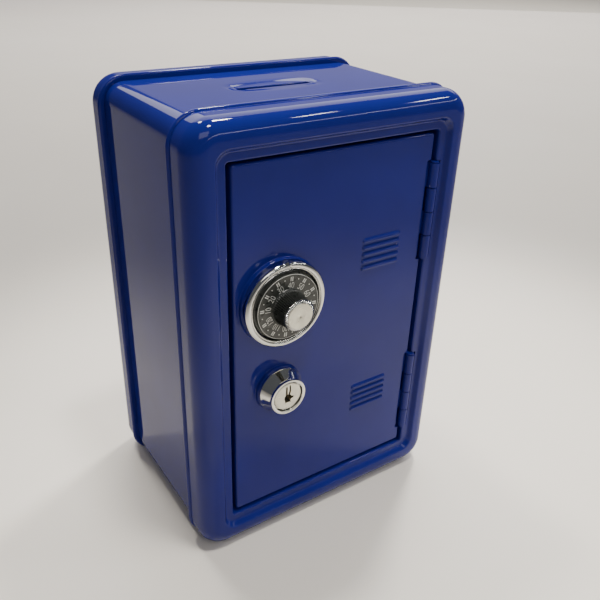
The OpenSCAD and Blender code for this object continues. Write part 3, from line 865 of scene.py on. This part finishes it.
def build_knob():
    """Fluted black knob and its bright, toothed cap."""
    base = DIAL_FACE + 0.3
    grip_end = 12.7

    def grip(angle, radius, f):
        fade = between(f, [(base, 0), (base + 0.5, 1), (12.5, 1), (grip_end, 0.6)])
        return (flute(angle, 0.5) * fade, 0) if radius > 5.9 else (0, 0)

    sides = [(7.0, base), (6.98, base + 0.25), (6.9, base + 0.6), (6.7, 8.0), (6.45, 10.2), (6.2, 12.5)]
    profile = [(2.0, base)] + sides + [(6.1, grip_end), (5.6, grip_end), (2.0, grip_end)]
    knob = revolve(DIAL, profile, FLUTES * 8, wave=grip).object("knob_grip", 50)
    even_normals(knob)
    place(knob, BLACK, "dial", "black_plastic", "dial_knob")

    def teeth(angle, radius, f):
        return (flute(angle, 0.4), 0) if radius > 5.2 else (0, 0)

    rim = [(4.9, grip_end), (6.2, grip_end), (6.3, 12.85), (6.25, 13.1)]
    rim += [(5.75, 13.55), (5.3, 13.75), (4.9, 13.6)]
    ring_piece = revolve(DIAL, rim, FLUTES * 8, wave=teeth).object("knob_cap_teeth", 50)
    place(ring_piece, CHROME, "dial", "chrome")
    face = [(5.12, 13.4), (5.12, 13.75), (5.05, 13.9), (4.85, 13.97), (3.0, 13.97)]
    face += [(0.8, 13.95), (0.45, 13.9), (0.25, 13.8), (0, 13.77)]
    cap = revolve(DIAL, [(0, 13.0), (5.0, 13.0)] + face, 96, closed=False).object("knob_face_cap")
    even_normals(cap)
    place(cap, NICKEL, "dial", "satin_nickel", "knob_cap")


# ---------- key lock ----------

RING_R = 7.65
PLUG_FACE = 7.6
HEAD_R = 5.95


def build_lock_housing():
    """Trumpet-shaped chrome collar with a threaded barrel behind the door."""
    foot = [(9.3, BOSS_H), (9.6, BOSS_H + 0.05), (9.75, BOSS_H + 0.35), (9.75, 2.5), (9.66, 2.8)]
    flare = [(9.45, 3.1), (9.1, 3.7), (8.7, 4.45), (8.32, 5.2), (7.95, 5.95), (7.62, 6.65)]
    flare += [(7.4, 7.15), (7.38, 7.35)]
    rim = [(7.52, 7.55), (RING_R, 7.8), (7.6, 8.06), (7.42, 8.17), (7.2, 8.2), (6.75, 8.15)]
    rim += [(6.5, 8.0), (6.38, 7.7)]
    bore = [(6.32, 7.3), (6.32, 5.5), (5.0, 5.5), (5.0, -8.2), (6.4, -8.2)]
    thread_root = 6.75
    thread_h = 0.25
    pitch = 1.0
    barrel = [(thread_root, -8.0 + 0.125 * k) for k in range(70)]
    neck = [(6.9, 1.2), (6.9, BOSS_H)]

    def thread(angle, radius, f):
        if radius != thread_root:
            return 0, 0
        phase = (f / pitch + angle / (2 * math.pi)) % 1
        return thread_h * (1 - abs(2 * phase - 1)), 0

    profile = foot + flare + rim + bore + barrel + neck
    obj = revolve(LOCK, profile, 96, wave=thread).object("lock_collar", 40)
    even_normals(obj)
    place(obj, CHROME, "door", "chrome", "lock_housing")


def build_lock_plug():
    """Plug with its forked keyway, turned by the key."""
    drive_half = 2.8
    head = [(0, PLUG_FACE - 0.02), (4.5, PLUG_FACE), (HEAD_R - 0.25, PLUG_FACE)]
    head += [(HEAD_R - 0.05, PLUG_FACE - 0.1), (HEAD_R, PLUG_FACE - 0.35)]
    shank = [(HEAD_R, 5.7), (4.9, 5.7), (4.9, -8.4), (0, -8.4)]
    obj = revolve(LOCK, head + shank, 96, closed=False).object("lock_plug_face")
    bottom = PLUG_FACE - 5
    front = PLUG_FACE + 1
    keyway = [
        arc((0, -0.8), 1.65, 0, 345, 23),
        [(-1.05, 0.2), (-0.15, 0.2), (-0.25, 4.5), (-0.95, 4.5)],
        [(0.0, 0.2), (0.9, 0.2), (1.3, 2.0), (1.25, 4.9), (0.6, 4.9), (0.6, 2.4)],
        [(0, -1.5), (2.2, -1.35), (2.75, -0.8), (2.2, -0.3), (0, 0.1)],
        [(-1.5, -3.1), (-0.9, -2.7), (0.6, -2.7), (1.3, -3.1), (0.9, -1), (-0.9, -1)],
    ]
    cutters = [prism(outline, LOCK, bottom, front) for outline in keyway]
    cut_away(obj, cutters)
    even_normals(obj)
    place(obj, NICKEL, "key_plug", "satin_nickel", "lock_cylinder")
    tail = block(
        on_door(LOCK, -drive_half, 0, -8.3) - Vector((0, 0, drive_half)),
        on_door(LOCK, drive_half, 0, -10.1) + Vector((0, 0, drive_half)),
        "lock_plug_tail",
    )
    soften_edges(tail, 0.2)
    place(tail, STEEL, "key_plug", "zinc_steel")


# ---------- CAD nodes that stay ----------

KEPT_FINISHES = [
    (ENAMEL, [
        "frame_hinge_leaf_upper", "frame_hinge_leaf_lower", "door_hinge_leaf_upper",
        "door_hinge_leaf_lower", "hinge_pin_upper", "hinge_pin_lower",
    ]),
    (STEEL, [
        "strike_lug", "bezel_nuts", "wheel_spacers", "bush_clip", "wheel_bridge", "bridge_nuts",
        "dial_spindle", "drive_wheel", "drive_pin", "spindle_clip", "lock_washer", "lock_nut",
        "lock_cam", "cam_screw",
    ]),
    (BRASS, [
        "spindle_bush", "bush_nut", "tumbler_wheel_front", "tumbler_wheel_rear", "lock_wafers",
    ]),
]


def finish_kept_nodes():
    """Node materials and softened edges for the CAD pieces that are shown as they are."""
    for material, names in KEPT_FINISHES:
        for name in names:
            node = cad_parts[name]
            if not node.material_slots:
                node.data.materials.append(None)
            for slot in node.material_slots:
                slot.link = "OBJECT"
                slot.material = material
            weld = node.modifiers.new("weld", "WELD")
            weld.merge_threshold = WELD_DISTANCE * MM
            soften_edges(node, 0.18)
            even_normals(node)


# ---------- stage ----------


def build_floor():
    """A plain level sheet that reaches well past the camera's view."""
    half = 5000
    pitch = 500
    shape = Shape()
    lines = range(-half, half + 1, pitch)
    rows = [[(x, y, 0) for x in lines] for y in lines]
    shape.skin(rows, close_ring=False)
    obj = shape.object("floor")
    obj.data.materials.append(pale_floor())


def aim(obj, target):
    """Turns a light so that it shines at a point."""
    direction = (target - obj.location).normalized()
    obj.rotation_euler = direction.to_track_quat("-Z", "Y").to_euler()


def add_panel(name, centre, aim_at, size, power, colour=(1, 1, 1)):
    """A rectangular soft light between two points in metres."""
    light = bpy.data.lights.new(name, "AREA")
    light.shape = "RECTANGLE"
    light.size = size[0]
    light.size_y = size[1]
    light.energy = power
    light.color = colour
    obj = bpy.data.objects.new(name, light)
    obj.location = centre
    bpy.context.scene.collection.objects.link(obj)
    aim(obj, Vector(aim_at))


def add_spot(name, azimuth, elevation, aim_at, cone, radius, power, colour=(1, 1, 1)):
    """A round lamp with a soft-edged beam; the azimuth is counted from the front to the right."""
    distance = 1.4
    a = math.radians(azimuth)
    e = math.radians(elevation)
    target = Vector(aim_at)
    light = bpy.data.lights.new(name, "SPOT")
    light.energy = power
    light.color = colour
    light.spot_size = math.radians(cone)
    light.spot_blend = 0.6
    light.shadow_soft_size = radius
    obj = bpy.data.objects.new(name, light)
    away = Vector((math.sin(a) * math.cos(e), -math.cos(a) * math.cos(e), math.sin(e)))
    obj.location = target + away * distance
    bpy.context.scene.collection.objects.link(obj)
    aim(obj, target)


def light_stage():
    """Soft studio light: panels above, behind and in front, three lamps, and strips for the glints."""
    world = bpy.data.worlds.new("studio")
    world.use_nodes = True
    background = world.node_tree.nodes["Background"]
    background.inputs["Color"].default_value = (0.82, 0.85, 0.92, 1)
    background.inputs["Strength"].default_value = 0.12
    bpy.context.scene.world = world
    warm = (1.0, 0.97, 0.92)
    pinkish = (1.0, 0.93, 1.0)
    body = (0, 0, 0.15)
    # The panel above and the one behind are what the flat top and the crest mirror.
    add_panel("ceiling_panel", (1.15, 1.25, 1.1), (1.15, 1.1, 0), (2.6, 1.6), 42, warm)
    add_panel("back_wall", (1.2, 1.9, 0.45), body, (3.4, 0.9), 5.6, pinkish)
    add_panel("front_strip", (0.9, -1.1, 0.92), body, (2.6, 0.04), 5.0)
    add_panel("front_fill", (-0.35, -0.9, 1.15), (0, -0.12, 0), (0.7, 0.5), 3.2, warm)
    # The lamps brighten the tabletop around the body and throw its soft shadows.
    table = (0.05, -0.02, 0)
    add_spot("key_right", 125, 68, table, cone=25, radius=0.07, power=44, colour=warm)
    add_spot("key_left", -165, 66, table, cone=25, radius=0.09, power=26, colour=warm)
    add_spot("key_top", 20, 80, (0.03, -0.04, 0), cone=22, radius=0.10, power=38, colour=warm)
    # Small panels give the short bright dashes on the front cap's upper edge.
    add_panel("glint_middle", (0.85, -0.55, 1.35), body, (0.14, 0.05), 1.6)
    add_panel("glint_right", (1.1, -0.5, 1.2), body, (0.14, 0.04), 1.4)


def set_camera():
    """The reference view: from the front left, above, with a slight roll."""
    target = Vector((13.5, CREST_Y + 45, 80.3)) * MM
    azimuth = -0.601
    elevation = 0.499
    roll = 0.035
    distance = 0.3126
    back = Vector((
        math.sin(azimuth) * math.cos(elevation),
        -math.cos(azimuth) * math.cos(elevation),
        math.sin(elevation),
    ))
    right = (-back).cross(Vector((0, 0, 1))).normalized()
    up = right.cross(-back)
    side = right * math.cos(roll) + up * math.sin(roll)
    top = up * math.cos(roll) - right * math.sin(roll)
    data = bpy.data.cameras.new("camera")
    data.sensor_width = 36
    data.lens = 40.93
    data.clip_start = 0.01
    camera = bpy.data.objects.new("camera", data)
    turn = Matrix((side, top, back)).transposed().to_4x4()
    camera.matrix_world = Matrix.Translation(target + back * distance) @ turn
    bpy.context.scene.collection.objects.link(camera)
    bpy.context.scene.camera = camera


set_camera()
build_front_frame()
build_back_cap()
build_sleeve()
build_door()
build_bridge_studs()
build_bezel()
build_dial_plate()
build_dial_marks()
build_numerals()
build_knob()
build_lock_housing()
build_lock_plug()
finish_kept_nodes()
build_floor()
light_stage()
